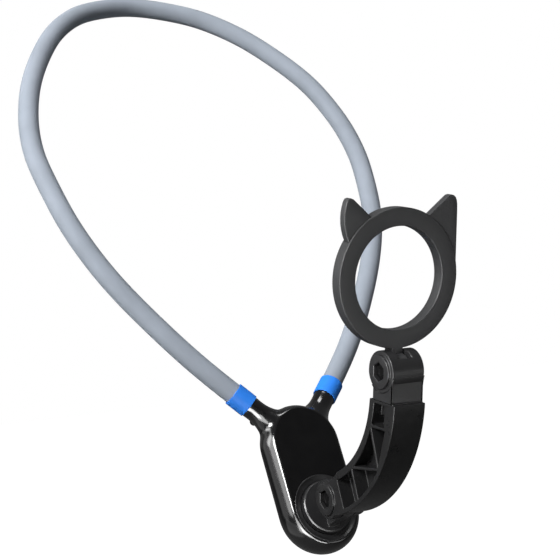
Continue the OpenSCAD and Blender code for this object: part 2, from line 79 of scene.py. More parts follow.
# The magnetic ring's and the knuckle's sizes in millimetres, as the CAD part has them. Only the
# neck's front and the ears' outlines follow the photograph more closely than the CAD part does
RING_R = 29.6
RING_IN_R = 21.8
RING_T = 6.0
PAD_T = 0.5
GROOVE_WALL = 1.3
GROOVE_D = 3.4
RING_DROP = 38.9
RING_LUG_R = 7.1
RING_BACK = -0.5
RING_NECK_TOP = -25.6
LUG_W = 5.4
LUG_BORE_R = 2.05
LUG_EDGE = 0.3
BARREL_R = 8.9
NECK_H = 12.7
NECK_FRONT = 0.95
EAR_FRONT = 0.8
EAR_T = 3.2
EAR_OUTLINES = (
    [(-12.5, 24.6), (-16.4, 27.9), (-20.0, 31.0), (-23.0, 33.5), (-24.4, 34.0), (-25.6, 33.6),
     (-26.3, 32.4), (-26.9, 30.2), (-27.3, 28.0), (-27.4, 25.8), (-27.3, 23.4), (-26.9, 21.1),
     (-26.2, 18.6), (-24.9, 15.7), (-22.8, 17.2)],
    [(12.5, 23.6), (14.5, 25.4), (24.2, 33.0), (25.2, 33.7), (26.4, 34.0), (27.6, 33.7),
     (28.6, 32.9), (29.2, 31.6), (29.5, 30.0), (29.6, 27.0), (29.6, 1.5), (28.6, 0.0), (28.2, 4.0)],
)

# The hub's sizes in millimetres, as the CAD part has them
HUB_T = 15.0
HUB_R = 19.6
HUB_LEN = 32.5
RIM_W = 3.1
SHELL_T = 2.0
SOCKET_ANGLE = math.radians(47)
SOCKET_REACH = 35.0
SOCKET_R = 5.3
SPIGOT_R = 5.08
COLLAR_LEN = 9.5
COLLAR_IN_R = 5.2
COLLAR_R = 5.7
DISC_R = 12.2
BEZEL_W = 3.2
WELL_D = 1.8
WELL_FLOOR = 2.4
FLAT_R = HUB_R - RIM_W
CAVITY_R = FLAT_R - SHELL_T
PANEL_R = FLAT_R - 0.6
PANEL_D = 0.9
WELL_R = DISC_R + BEZEL_W + 0.5
FLOOR_Z = -WELL_D - WELL_FLOOR
MID_Z = -HUB_T / 2
SEAM = 0.02
SHAFT_BORE_R = 4.05
WIRE_WAY_R = 2.1
POSTS = [(s * x, y) for x, y in ((9.6, -9.6), (10.4, HUB_LEN - 3)) for s in (-1, 1)]
POST_R = 2.7
THREAD_BORE_R = 1.2
SHANK_BORE_R = 1.3
HEAD_BORE_R = 2.4
HEAD_BORE_D = 1.6
BOSS_R = 1.8
BOSS_H = 4
BOSS_HEAD_R = 1.4
BOSS_SHANK_R = 0.75

# Smoothing that lets the sockets flow out of the hub: how often, and the region round each root
ROOT_PASSES = 80
FORM_PASSES = 40
ROOT_AT = 19.5
ROOT_REACH = 11
ROOT_HALF_T = 7.2
LEAST_FACES = 1000

# The loop's sizes in millimetres, and half its route as shares of half width, length and lean back
LOOP_HALF_W = 91.5
LOOP_LEN = 248.0
LOOP_BACK = 44.0
LOOP_RUN_IN = 12
LOOP_PASSES = 60
LOOP_PULLS = (0.5, -0.53)
ROUTE = [
    (0.33, 0.105, 0.012), (0.677, 0.247, 0.06), (0.88, 0.366, 0.095), (0.975, 0.48, 0.17),
    (1.0, 0.568, 0.25), (0.947, 0.657, 0.33), (0.81, 0.754, 0.44), (0.55, 0.865, 0.645),
    (0.29, 0.937, 0.81), (0.02, 0.978, 0.925),
]

# Widths of the bevels on small pieces, in metres. Larger moulded parts take the panel's setting
COLLAR_ROUND = 0.22 * MM
SCREW_ROUND = 0.1 * MM
DISC_ROUND = 0.15 * MM
HINGE_ROUND = 0.15 * MM
KNUCKLE_ROUND = 0.4 * MM

# The photograph's camera
LENS = 96.93
SENSOR = 36.0
CLIP_START = 0.05
CAMERA_PLACE = (-0.35933, -0.76943, -0.02935)
CAMERA_RIGHT = (0.86038, -0.50942, 0.01529)
CAMERA_BACK = (-0.50619, -0.85068, 0.14182)

# The stage: the floor's level and half side, the world's level and its share in gloss, then the
# lamps by name, direction from the aim, distance, width, height, power and whether a panel
FLOOR_LEVEL = -1.0
FLOOR_HALF = 3.0
FLOOR_GLOW = 0.9
WORLD_LEVEL = 0.11
WORLD_GLOSS = 0.045
LAMP_AIM = (0.0, -0.2, -0.16)
LAMPS = (
    ("left_high", (-0.8, -0.24, 0.55), 1.3, 0.5, 0.5, 18, False),
    ("left_back", (-0.85, 0.38, 0.36), 1.5, 0.5, 0.8, 5, False),
    ("top", (0.1, 0.1, 1.0), 1.4, 0.6, 0.4, 7, False),
    ("left_high_panel", (-0.8, -0.24, 0.55), 1.25, 0.42, 0.42, 14, True),
    ("left_middle_panel", (-0.68, -0.66, -0.06), 1.2, 0.8, 1.0, 17, True),
    ("front_left_panel", (-0.5, -0.84, -0.22), 1.2, 0.9, 0.5, 17, True),
    ("front_low_panel", (0.0, -0.88, -0.46), 1.2, 0.5, 0.25, 5, True),
    ("front_right_panel", (0.51, -0.85, -0.1), 1.2, 0.5, 0.4, 1, True),
    ("left_panel", (-0.93, 0.15, 0.33), 1.4, 0.9, 0.7, 8, True),
    ("left_rear_panel", (-0.8, 0.56, 0.05), 1.3, 1.0, 0.8, 1.2, True),
    ("left_low_panel", (-0.78, 0.05, -0.5), 1.2, 1.2, 0.8, 1.5, True),
)


class HolderSizes(bpy.types.PropertyGroup):
    """Sizes of the dressed holder that a user would change"""

    tube_width: FloatProperty(
        name="Tube diameter", description="Outer diameter of the soft tube", default=9.93 * MM,
        min=8 * MM, max=12 * MM, unit="LENGTH", subtype="DISTANCE", precision=5)
    tube_sides: IntProperty(
        name="Tube sides", description="Sides of the soft tube's section", default=32,
        min=12, max=64)
    tube_steps: IntProperty(
        name="Tube steps", description="Rings of the tube between two points of its route",
        default=10, min=4, max=20)
    hub_grain: FloatProperty(
        name="Hub voxel", description="Voxel that joins the hub's forms into one skin",
        default=0.32 * MM, min=0.25 * MM, max=1 * MM, unit="LENGTH", subtype="DISTANCE",
        precision=5)
    edge_round: FloatProperty(
        name="Edge rounding", description="Width of the arm's rounded edges",
        default=0.45 * MM, min=0.05 * MM, max=0.6 * MM, unit="LENGTH", subtype="DISTANCE",
        precision=5)


def colour_property(name, description, default):
    """A colour setting in linear light."""
    return FloatVectorProperty(
        name=name, description=description, default=default, size=3, min=0, max=1, subtype="COLOR")


class HolderColours(bpy.types.PropertyGroup):
    """Colours of the dressed holder that a user would change"""

    tube: colour_property("Tube", "Soft tube of the neck loop", (0.35, 0.39, 0.45))
    collar: colour_property("Collars", "Coloured collars at the sockets", (0.036, 0.268, 1.0))
    hub: colour_property("Hub", "Glossy shells of the hub", (0.003, 0.003, 0.0034))
    panel: colour_property("Panel", "Satin front panel of the hub", (0.0045, 0.0045, 0.0048))
    trim: colour_property("Trim", "Bezel ring and turntable", (0.016, 0.016, 0.017))
    arm: colour_property("Arm", "Moulded arm", (0.019, 0.019, 0.0195))
    knuckle: colour_property("Knuckle", "Knuckle on the arm's top", (0.023, 0.023, 0.024))
    ring: colour_property("Ring", "Magnetic ring's housing", (0.05, 0.0505, 0.0525))
    hinge: colour_property(
        "Hinge fasteners", "Blackened hinge screws and nuts", (0.002, 0.002, 0.0022))


# Materials

# The range that nearly all of a noise texture's values fall in
NOISE_LOW, NOISE_HIGH = 0.3, 0.7


class Finish:
    """A node material that is put together step by step."""

    def __init__(self, name):
        self.material = bpy.data.materials.new(name)
        self.material.use_nodes = True
        self.tree = self.material.node_tree
        self.shader = self.tree.nodes["Principled BSDF"]
        self.place = self.tree.nodes.new("ShaderNodeTexCoord").outputs["Object"]

    def stretched(self, scale):
        """Object coordinates stretched along the axes, for drawn lines."""
        node = self.tree.nodes.new("ShaderNodeMapping")
        node.inputs["Scale"].default_value = scale
        self.tree.links.new(self.place, node.inputs["Vector"])
        return node.outputs["Vector"]

    def noise(self, size_mm, detail=2.0, place=None):
        """Soft noise whose marks are about so many millimetres wide."""
        node = self.tree.nodes.new("ShaderNodeTexNoise")
        node.inputs["Scale"].default_value = 1000.0 / size_mm
        node.inputs["Detail"].default_value = detail
        self.tree.links.new(place or self.place, node.inputs["Vector"])
        return node.outputs["Fac"]

    def between(self, fac, low, high):
        """Noise spread from a low to a high value."""
        node = self.tree.nodes.new("ShaderNodeMapRange")
        node.inputs["From Min"].default_value = NOISE_LOW
        node.inputs["From Max"].default_value = NOISE_HIGH
        node.inputs["To Min"].default_value = low
        node.inputs["To Max"].default_value = high
        self.tree.links.new(fac, node.inputs["Value"])
        return node.outputs["Result"]

    def colours(self, fac, low, high):
        """Noise spread between two colours."""
        node = self.tree.nodes.new("ShaderNodeValToRGB")
        node.color_ramp.elements[0].position = NOISE_LOW
        node.color_ramp.elements[1].position = NOISE_HIGH
        node.color_ramp.elements[0].color = (*low, 1.0)
        node.color_ramp.elements[1].color = (*high, 1.0)
        self.tree.links.new(fac, node.inputs["Fac"])
        return node.outputs["Color"]

    def to(self, socket, output):
        """Links an output to one of the shader's sockets."""
        self.tree.links.new(output, self.shader.inputs[socket])

    def bump(self, fac, depth_mm, under=None):
        """A surface relief of a depth in millimetres, over another one where it is given."""
        node = self.tree.nodes.new("ShaderNodeBump")
        node.inputs["Strength"].default_value = 1.0
        node.inputs["Distance"].default_value = depth_mm * MM
        self.tree.links.new(fac, node.inputs["Height"])
        if under is not None:
            self.tree.links.new(under, node.inputs["Normal"])
        return node.outputs["Normal"]


def shade(colour, factor):
    """A colour made darker or lighter, and never above white."""
    return tuple(min(1.0, c * factor) for c in colour)


def moulded(name, colour, rough, mottle=0.1, grain_mm=0.35, grain_depth=0.012, wave_depth=0.0,
            specular=0.5, coat=0.0):
    """Moulded plastic: faint flow mottle, uneven gloss, fine grain, and sink waves or a coat."""
    f = Finish(name)
    flow = f.noise(14.0, 3.0)
    f.to("Base Color", f.colours(flow, shade(colour, 1 - mottle), shade(colour, 1 + mottle)))
    f.to("Roughness", f.between(f.noise(5.0, 4.0), rough - 0.035, rough + 0.035))
    normal = f.bump(f.noise(grain_mm, 2.0), grain_depth)
    if wave_depth:
        normal = f.bump(f.noise(9.0, 1.0), wave_depth, under=normal)
    f.to("Normal", normal)
    f.shader.inputs["Specular IOR Level"].default_value = specular
    f.shader.inputs["Coat Weight"].default_value = coat
    f.shader.inputs["Coat Roughness"].default_value = 0.12
    return f.material


def turned_metal(name, colour, rough, grain=(1.0, 1.0, 1.0)):
    """Machined or plated metal with fine drawn lines."""
    f = Finish(name)
    lines = f.noise(0.6, 3.0, f.stretched(grain))
    f.to("Base Color", f.colours(f.noise(4.0), shade(colour, 0.9), shade(colour, 1.06)))
    f.to("Roughness", f.between(lines, rough - 0.06, rough + 0.08))
    f.to("Normal", f.bump(lines, 0.006))
    f.shader.inputs["Metallic"].default_value = 1.0
    return f.material


def soft_tube_finish(colour):
    """Soft tube: matte bloom, faint mottle and a fine skin texture."""
    f = Finish("soft_tube_skin")
    f.to("Base Color", f.colours(f.noise(20.0, 4.0), shade(colour, 0.93), shade(colour, 1.07)))
    f.to("Roughness", f.between(f.noise(3.0, 4.0), 0.5, 0.6))
    skin = f.bump(f.noise(0.5, 3.0), 0.004)
    f.to("Normal", f.bump(f.noise(6.0, 1.0), 0.01, under=skin))
    f.shader.inputs["Specular IOR Level"].default_value = 0.05
    return f.material


FINISHES = {}


def finishes(colours):
    """All the holder's materials, by their slot's name, made once."""
    if not FINISHES:
        FINISHES.update({
            "soft_tube": soft_tube_finish(colours.tube),
            "collar_blue": moulded(
                "collar_blue_skin", colours.collar, 0.5, 0.04, 0.5, 0.008, specular=0.09),
            "hub_gloss_black": moulded(
                "hub_gloss", colours.hub, 0.17, 0.12, 1.6, 0.003, specular=0.5, coat=0.6),
            "panel_black": moulded(
                "panel_satin", colours.panel, 0.42, 0.1, 0.3, 0.008, specular=0.12),
            "trim_black": moulded("trim_satin", colours.trim, 0.36, 0.1, 0.35, 0.008),
            "arm_black": moulded(
                "arm_satin", colours.arm, 0.3, 0.12, 0.4, 0.008, 0.012, specular=0.22),
            "knuckle_black": moulded(
                "knuckle_satin", colours.knuckle, 0.36, 0.12, 0.4, 0.008, 0.012, specular=0.35),
            "ring_grey": moulded("ring_matte", colours.ring, 0.42, 0.05, 0.3, 0.01, specular=0.28),
            "hinge_screw_black": moulded(
                "hinge_blackened", colours.hinge, 0.4, 0.15, 0.6, 0.01, specular=0.12),
            "screw_steel": turned_metal("screw_plated", (0.5, 0.5, 0.52), 0.3),
            "wire_steel": turned_metal("wire_drawn", (0.55, 0.56, 0.58), 0.34, (1.0, 1.0, 0.15)),
            "ferrule_brass": turned_metal("ferrule_crimped", (0.6, 0.43, 0.18), 0.35),
            "magnet_nickel": turned_metal("magnet_plated", (0.62, 0.62, 0.64), 0.24),
            "washer_nylon": moulded(
                "washer_nylon_skin", (0.012, 0.012, 0.0125), 0.5, 0.05, 0.4, 0.01),
            "pad_rubber": moulded("pad_rubber_skin", (0.02, 0.02, 0.021), 0.72, 0.12, 0.25, 0.02),
        })
    return FINISHES


# Mesh helpers. Shapes are drawn in millimetres and placed by a frame's matrix

def drawn(profile):
    """A bmesh that holds a profile of (radius, height) points, joined in a line."""
    bm = bmesh.new()
    points = [bm.verts.new((r, 0, z)) for r, z in profile]
    for a, b in zip(points, points[1:]):
        bm.edges.new((a, b))
    return bm


def tidied(bm):
    """A bmesh with doubled points joined, thin faces dropped and its faces turned outwards."""
    bmesh.ops.remove_doubles(bm, verts=bm.verts, dist=0.001)
    bmesh.ops.dissolve_degenerate(bm, dist=0.0005, edges=bm.edges)
    bmesh.ops.recalc_face_normals(bm, faces=bm.faces)
    return bm


def turned(profile, steps=96, place=None):
    """A profile spun once about the z axis."""
    bm = drawn(profile)
    bmesh.ops.spin(
        bm, geom=bm.verts[:] + bm.edges[:], cent=(0, 0, 0), axis=(0, 0, 1), angle=math.tau,
        steps=steps, use_merge=True)
    tidied(bm)
    if place is not None:
        bmesh.ops.transform(bm, matrix=place, verts=bm.verts)
    return bm


def rod(radius, z0, z1, place=None, steps=48):
    """A round bar between two heights."""
    return turned([(0, z0), (radius, z0), (radius, z1), (0, z1)], steps, place)


def pebble(profile, steps=48):
    """A profile from axis to axis, spun round both ends of the hub and drawn along it."""
    bm = drawn(profile)
    start = bm.verts[:] + bm.edges[:]
    spun = bmesh.ops.spin(
        bm, geom=start, cent=(0, 0, 0), axis=(0, 0, 1), angle=-math.pi, steps=steps)
    ends = []
    for geom in (start, spun["geom_last"]):
        edges = [g for g in geom if isinstance(g, bmesh.types.BMEdge)]
        pulled = bmesh.ops.extrude_edge_only(bm, edges=edges)["geom"]
        points = [g for g in pulled if isinstance(g, bmesh.types.BMVert)]
        bmesh.ops.translate(bm, vec=(0, HUB_LEN, 0), verts=points)
        ends.append([g for g in pulled if not isinstance(g, bmesh.types.BMFace)])
    bmesh.ops.spin(
        bm, geom=ends[0], cent=(0, HUB_LEN, 0), axis=(0, 0, 1), angle=math.pi, steps=steps)
    return tidied(bm)


def box(low, high):
    """A block between two corners."""
    bm = bmesh.new()
    low, high = Vector(low), Vector(high)
    place = Matrix.Translation((low + high) / 2) @ Matrix.Diagonal((*(high - low), 1))
    bmesh.ops.create_cube(bm, size=1, matrix=place)
    return bm


def slab(z0, z1, half=120):
    """A flat block that is wider than the hub."""
    return box((-half, -half, z0), (half, half, z1))


def merged(*parts):
    """Several bmeshes as one."""
    whole = bmesh.new()
    for part in parts:
        mesh = bpy.data.meshes.new("part")
        part.to_mesh(mesh)
        part.free()
        whole.from_mesh(mesh)
        bpy.data.meshes.remove(mesh)
    return whole


def loose_object(bm, name):
    """A bmesh made an object of the scene."""
    mesh = bpy.data.meshes.new(name)
    bm.to_mesh(mesh)
    bm.free()
    obj = bpy.data.objects.new(name, mesh)
    bpy.context.scene.collection.objects.link(obj)
    return obj


def settled(obj):
    """Takes an object's evaluated mesh as a bmesh and removes the object."""
    graph = bpy.context.evaluated_depsgraph_get()
    mesh = bpy.data.meshes.new_from_object(obj.evaluated_get(graph))
    bm = bmesh.new()
    bm.from_mesh(mesh)
    bpy.data.meshes.remove(mesh)
    old = obj.data
    bpy.data.objects.remove(obj)
    bpy.data.meshes.remove(old)
    return bm


def combined(bm, *steps):
    """Booleans in turn: each step is an operation and the bmesh it uses."""
    obj = loose_object(bm, "combined")
    tools = []
    for operation, tool in steps:
        tools.append(loose_object(tool, "tool"))
        modifier = obj.modifiers.new("boolean", "BOOLEAN")
        modifier.operation = operation
        modifier.solver = "MANIFOLD"
        modifier.object = tools[-1]
    bm = settled(obj)
    for tool in tools:
        mesh = tool.data
        bpy.data.objects.remove(tool)
        bpy.data.meshes.remove(mesh)
    return bm


def piece(bm, name, place, body, slot, context, stands_for=(), rounding=0.0, sharp=32,
          finish=None):
    """Puts a bmesh in place as a finished piece that rides on a body.

    Edges sharper than so many degrees stay crisp and take the rounding. The finish is the
    slot's own where no other is named.
    """
    if place is not None:
        bmesh.ops.transform(bm, matrix=place @ Matrix.Scale(MM, 4), verts=bm.verts)
    obj = loose_object(bm, name)
    mesh = obj.data
    mesh.materials.append(finishes(context.scene.holder_colours)[finish or slot])
    mesh.polygons.foreach_set("use_smooth", [True] * len(mesh.polygons))
    mesh.set_sharp_from_angle(angle=math.radians(sharp))
    if rounding:
        modifier = obj.modifiers.new("rounded_edges", "BEVEL")
        modifier.width = rounding
        modifier.segments = 3
        modifier.limit_method = "ANGLE"
        modifier.angle_limit = math.radians(sharp)
        modifier.harden_normals = True
        modifier.use_clamp_overlap = False
    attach(obj, body)
    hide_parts(*stands_for)
    return obj


def node_copy(name):
    """A CAD node's mesh as a clean bmesh in metres, its flat faces made whole."""
    bm = bmesh.new()
    bm.from_mesh(frame["nodes"][name].data)
    bmesh.ops.remove_doubles(bm, verts=bm.verts, dist=2e-6)
    bmesh.ops.dissolve_limit(
        bm, angle_limit=math.radians(0.4), verts=bm.verts, edges=bm.edges, delimit={"NORMAL"})
    return bm


def rounded_copy(node, name, body, slot, context, rounding=None):
    """A piece that is a CAD node with rounded edges, as wide as the panel sets where not given."""
    width = context.scene.holder_sizes.edge_round if rounding is None else rounding
    return piece(node_copy(node), name, None, body, slot, context, (node,), width)


def painted(node, slot, context):
    """Gives a CAD node itself one of the finishes."""
    mesh = frame["nodes"][node].data
    mesh.materials.clear()
    mesh.materials.append(finishes(context.scene.holder_colours)[slot])


def socket_frame(side):
    """The frame of a socket: z out along its axis, from the upper round end's centre."""
    turn = SOCKET_ANGLE if side > 0 else math.pi - SOCKET_ANGLE
    return (
        Matrix.Translation((0, HUB_LEN, MID_Z))
        @ Matrix.Rotation(turn, 4, "Z")
        @ Matrix.Rotation(math.radians(90), 4, "Y")
    )


# The neck loop

def loop_points(steps):
    """Points along the tube, in the hub's frame."""
    mouth = Vector((SOCKET_REACH * math.cos(SOCKET_ANGLE),
                    HUB_LEN + SOCKET_REACH * math.sin(SOCKET_ANGLE), MID_Z))

    def at(p, side):
        return Vector((side * (mouth.x + (LOOP_HALF_W - mouth.x) * p[0]),
                       mouth.y + LOOP_LEN * p[1], MID_Z - LOOP_BACK * p[2]))

    def along(side, d):
        return Vector((side * (mouth.x + d * math.cos(SOCKET_ANGLE)),
                       mouth.y + d * math.sin(SOCKET_ANGLE), MID_Z))

    nape = Vector((0, mouth.y + LOOP_LEN, MID_Z - LOOP_BACK))
    guide = [along(-1, -LOOP_RUN_IN), along(-1, 0)] + [at(p, -1) for p in ROUTE] + [nape]
    guide += [at(p, 1) for p in reversed(ROUTE)] + [along(1, 0), along(1, -LOOP_RUN_IN)]
    # A curve through the guide's points, then drawn smoother without growing shorter
    points = []
    for a, b, c, d in zip(guide, guide[1:], guide[2:], guide[3:]):
        for k in range(steps):
            t = k / steps
            points.append(0.5 * (2 * b + (c - a) * t + (2 * a - 5 * b + 4 * c - d) * t * t
                                 + (3 * b - a - 3 * c + d) * t ** 3))
    points.append(guide[-2])
    for _ in range(LOOP_PASSES):
        for pull in LOOP_PULLS:
            middles = [(a + c) / 2 for a, c in zip(points, points[2:])]
            inner = [b + (m - b) * pull for b, m in zip(points[1:], middles)]
            points = [points[0]] + inner + [points[-1]]
    return points


def section_frame(points, i):
    """The frame of the tube's section at one of its points: z along the tube."""
    before, after = points[max(i - 1, 0)], points[min(i + 1, len(points) - 1)]
    z = (after - before).normalized()
    x = z.cross(Vector((0, 0, 1))).normalized()
    return corner_frame(points[i], x, z.cross(x), z)


def swept_tube(points, radius, sides):
    """A circle drawn along the loop's points."""
    bm = bmesh.new()
    frames = [section_frame(points, i) for i in range(len(points))]
    bmesh.ops.create_circle(bm, cap_ends=False, radius=radius, segments=sides, matrix=frames[0])
    edges = bm.edges[:]
    for old, new in zip(frames, frames[1:]):
        geom = bmesh.ops.extrude_edge_only(bm, edges=edges)["geom"]
        edges = [g for g in geom if isinstance(g, bmesh.types.BMEdge)]
        verts = [g for g in geom if isinstance(g, bmesh.types.BMVert)]
        bmesh.ops.transform(bm, matrix=new @ old.inverted(), verts=verts)
    bmesh.ops.holes_fill(bm, edges=[e for e in bm.edges if e.is_boundary], sides=sides)
    bmesh.ops.recalc_face_normals(bm, faces=bm.faces)
    return bm


class OBJECT_OT_neck_loop(bpy.types.Operator):
    """Sweeps the soft tube and finishes the wire in it"""

    bl_idname = "object.holder_neck_loop"
    bl_label = "Neck loop"

    def execute(self, context):
        sizes = context.scene.holder_sizes
        bm = swept_tube(loop_points(sizes.tube_steps), sizes.tube_width / MM / 2, sizes.tube_sides)
        piece(bm, "tube_sleeve", HUB, "hub", "soft_tube", context, ("neck_tube",), sharp=60)
        painted("core_wire", "wire_steel", context)
        painted("wire_ferrules", "ferrule_brass", context)
        return {"FINISHED"}


class OBJECT_OT_collars(bpy.types.Operator):
    """Turns the two coloured collars, with rounded ends"""

    bl_idname = "object.holder_collars"
    bl_label = "Collars"

    def execute(self, context):
        low = SOCKET_REACH - COLLAR_LEN / 2
        high = low + COLLAR_LEN
        section = [(COLLAR_IN_R, low), (COLLAR_R, low), (COLLAR_R, high), (COLLAR_IN_R, high),
                   (COLLAR_IN_R, low)]
        for side, node in ((-1, "collar_left"), (1, "collar_right")):
            bm = turned(section, 72, socket_frame(side))
            piece(bm, node + "_band", HUB, "hub", "collar_blue", context, (node,), COLLAR_ROUND, 40)
        return {"FINISHED"}


# The hub

def rim_profile():
    """Half of the hub's section: flat face, round rim, flat back."""
    half_steps = 8
    radius = (HUB_T ** 2 / 4 + RIM_W ** 2) / (2 * RIM_W)
    centre = HUB_R - radius
    reach = math.asin(HUB_T / 2 / radius)
    arc = [(centre + radius * math.cos(a), MID_Z + radius * math.sin(a))
           for a in (reach * (1 - k / half_steps) for k in range(2 * half_steps + 1))]
    return [(0, 0)] + arc + [(0, -HUB_T)]


def socket_outline():
    """A socket's half section: a flowing root, a barrel and a spigot."""
    seat = SOCKET_REACH - COLLAR_LEN / 2
    return [
        (0, 10), (7.1, 10), (7.1, 17), (6.9, 18.6), (6.4, 20.2), (5.9, 21.6), (5.55, 23),
        (5.35, 24.6), (SOCKET_R, 26), (SOCKET_R, seat), (SPIGOT_R, seat + 0.25),
        (SPIGOT_R, SOCKET_REACH - 0.2), (SPIGOT_R - 0.28, SOCKET_REACH), (0, SOCKET_REACH),
    ]


def hub_form(grain):
    """The hub's outer form: pebble and sockets flowing into each other."""
    sockets = [turned(socket_outline(), 64, socket_frame(side)) for side in (-1, 1)]
    obj = loose_object(merged(pebble(rim_profile()), *sockets), "hub_form")
    modifier = obj.modifiers.new("voxels", "REMESH")
    modifier.mode = "VOXEL"
    modifier.voxel_size = grain
    bm = settled(obj)
    roots = [socket_frame(side) @ Vector((0, 0, ROOT_AT)) for side in (-1, 1)]
    near = [v for v in bm.verts if min((v.co - r).length for r in roots) < ROOT_REACH
            and MID_Z - ROOT_HALF_T < v.co.z < MID_Z + ROOT_HALF_T]
    for verts, passes in ((near, ROOT_PASSES), (bm.verts, FORM_PASSES)):
        for _ in range(passes):
            bmesh.ops.smooth_vert(
                bm, verts=verts, factor=0.5, use_axis_x=True, use_axis_y=True, use_axis_z=True)
    return bm


def stadium(radius, z0, z1):
    """A slab with round ends, as long as the hub's centres are apart."""
    return pebble([(0, z1), (radius, z1), (radius, z0), (0, z0)])


def post_rods(radius, z0, z1):
    """Bars where the shells' four screw posts stand."""
    return merged(*[rod(radius, z0, z1, Matrix.Translation((x, y, 0)), 32) for x, y in POSTS])


def wire_ways():
    """Bars along both sockets, from inside the hub's cavity to past the mouths."""
    start = math.sqrt(CAVITY_R ** 2 - 3.2 ** 2) - 5.1
    return merged(*[
        rod(WIRE_WAY_R, start, SOCKET_REACH + 2, socket_frame(side), 32) for side in (-1, 1)])


def boss_frame(side):
    """The frame of a socket's screw boss, looking into the boss from behind the hub."""
    return (
        socket_frame(side)
        @ Matrix.Translation((SOCKET_R + 1, -side * 1.5, 23.5))
        @ Matrix.Rotation(math.radians(-90), 4, "Y")
    )


def boss_rods(radius, z0, z1, steps=32):
    """Bars in both sockets' screw bosses."""
    return merged(*[rod(radius, z0, z1, boss_frame(side), steps) for side in (-1, 1)])


class OBJECT_OT_hub_shells(bpy.types.Operator):
    """Shapes the glossy hub and parts it into a front and a rear shell"""

    bl_idname = "object.holder_hub_shells"
    bl_label = "Hub shells"

    def execute(self, context):
        form = hub_form(context.scene.holder_sizes.hub_grain / MM)
        front = combined(
            form.copy(),
            ("INTERSECT", slab(MID_Z + SEAM, 5)),
            ("DIFFERENCE", stadium(CAVITY_R, MID_Z - 1, FLOOR_Z)),
            ("UNION", post_rods(POST_R, MID_Z + 0.05, FLOOR_Z + 0.2)),
            ("DIFFERENCE", stadium(PANEL_R + 0.1, -PANEL_D, 1)),
            ("DIFFERENCE", rod(WELL_R, -WELL_D, 1, steps=96)),
            ("DIFFERENCE", rod(SHAFT_BORE_R, FLOOR_Z - 1, 1)),
            ("DIFFERENCE", post_rods(THREAD_BORE_R, MID_Z - 1, MID_Z + 2)),
            ("DIFFERENCE", wire_ways()),
        )
        rear = combined(
            form,
            ("INTERSECT", slab(-HUB_T - 5, MID_Z - SEAM)),
            ("UNION", boss_rods(BOSS_R, 0, BOSS_H, 40)),
            ("DIFFERENCE", stadium(CAVITY_R, -HUB_T + SHELL_T, MID_Z + 1)),
            ("UNION", post_rods(POST_R, -HUB_T + SHELL_T - 0.2, MID_Z - 0.05)),
            ("DIFFERENCE", post_rods(SHANK_BORE_R, -HUB_T - 2, MID_Z + 1)),
            ("DIFFERENCE", post_rods(HEAD_BORE_R, -HUB_T - 2, -HUB_T + HEAD_BORE_D)),
            ("DIFFERENCE", boss_rods(BOSS_HEAD_R, -1, 1.3)),
            ("DIFFERENCE", boss_rods(BOSS_SHANK_R, 1, BOSS_H - 0.2)),
            ("DIFFERENCE", wire_ways()),
        )
        for bm, name in ((front, "hub_front"), (rear, "hub_rear")):
            if len(bm.faces) < LEAST_FACES:
                raise RuntimeError(f"{name}: the boolean left only {len(bm.faces)} faces")
            piece(bm, name, HUB, "hub", "hub_gloss_black", context, (name + "_shell",), sharp=42)
        return {"FINISHED"}


class OBJECT_OT_hub_trim(bpy.types.Operator):
    """Turns the dished bezel ring and fits the panel and the hub's screws"""

    bl_idname = "object.holder_hub_trim"
    bl_label = "Hub trim"

    def execute(self, context):
        inner, outer = DISC_R + 0.35, WELL_R - 0.1
        bezel = turned([
            (inner, -WELL_D), (outer, -WELL_D), (outer, -0.12), (outer - 0.12, 0), (outer - 0.5, 0),
            (outer - 0.62, -0.06), (inner + 1.6, -0.72), (inner + 0.9, -0.95), (inner + 0.2, -1),
            (inner, -1.12), (inner, -WELL_D)], 128)
        piece(bezel, "bezel_band", HUB, "hub", "trim_black", context, ("bezel_ring",), sharp=50)
        rounded_copy("front_panel", "front_plate", "hub", "panel_black", context, 0)
        for node in ("shell_screws", "socket_screws"):
            rounded_copy(node, node + "_set", "hub", "screw_steel", context, SCREW_ROUND)
        return {"FINISHED"}


# The turntable, arm and hinges

class OBJECT_OT_turntable(bpy.types.Operator):
    """Rounds the turntable's disc and lug and finishes what holds it in the hub"""

    bl_idname = "object.holder_turntable"
    bl_label = "Turntable"

    def execute(self, context):
        rounded_copy("turntable", "turntable_disc", "turntable", "trim_black", context, DISC_ROUND)
        for node in ("spring_washer", "retaining_washer", "turntable_screw"):
            painted(node, "screw_steel", context)
        return {"FINISHED"}


def neck_recess():
    """What is cut from the front of the knuckle's neck, measured from the upper hinge."""
    barrel = rod(BARREL_R + 0.02, -15, 15, Matrix.Rotation(math.radians(90), 4, "Y"), 96)
    front = box((-20, -30, 0.05 - NECK_H), (20, NECK_FRONT - BARREL_R, 0))
    return combined(front, ("DIFFERENCE", barrel))


class OBJECT_OT_truss_arm(bpy.types.Operator):
    """Rounds the truss arm and the knuckle on its top"""

    bl_idname = "object.holder_truss_arm"
    bl_label = "Truss arm"

    def execute(self, context):
        rounded_copy("arm_frame", "arm_truss", "arm", "arm_black", context)
        knuckle = node_copy("upper_knuckle")
        bmesh.ops.transform(
            knuckle, matrix=(UP @ Matrix.Scale(MM, 4)).inverted(), verts=knuckle.verts)
        knuckle = combined(knuckle, ("DIFFERENCE", neck_recess()))
        piece(knuckle, "arm_knuckle", UP, "arm", "arm_black", context, ("upper_knuckle",),
              KNUCKLE_ROUND, finish="knuckle_black")
        painted("knuckle_pin", "screw_steel", context)
        return {"FINISHED"}


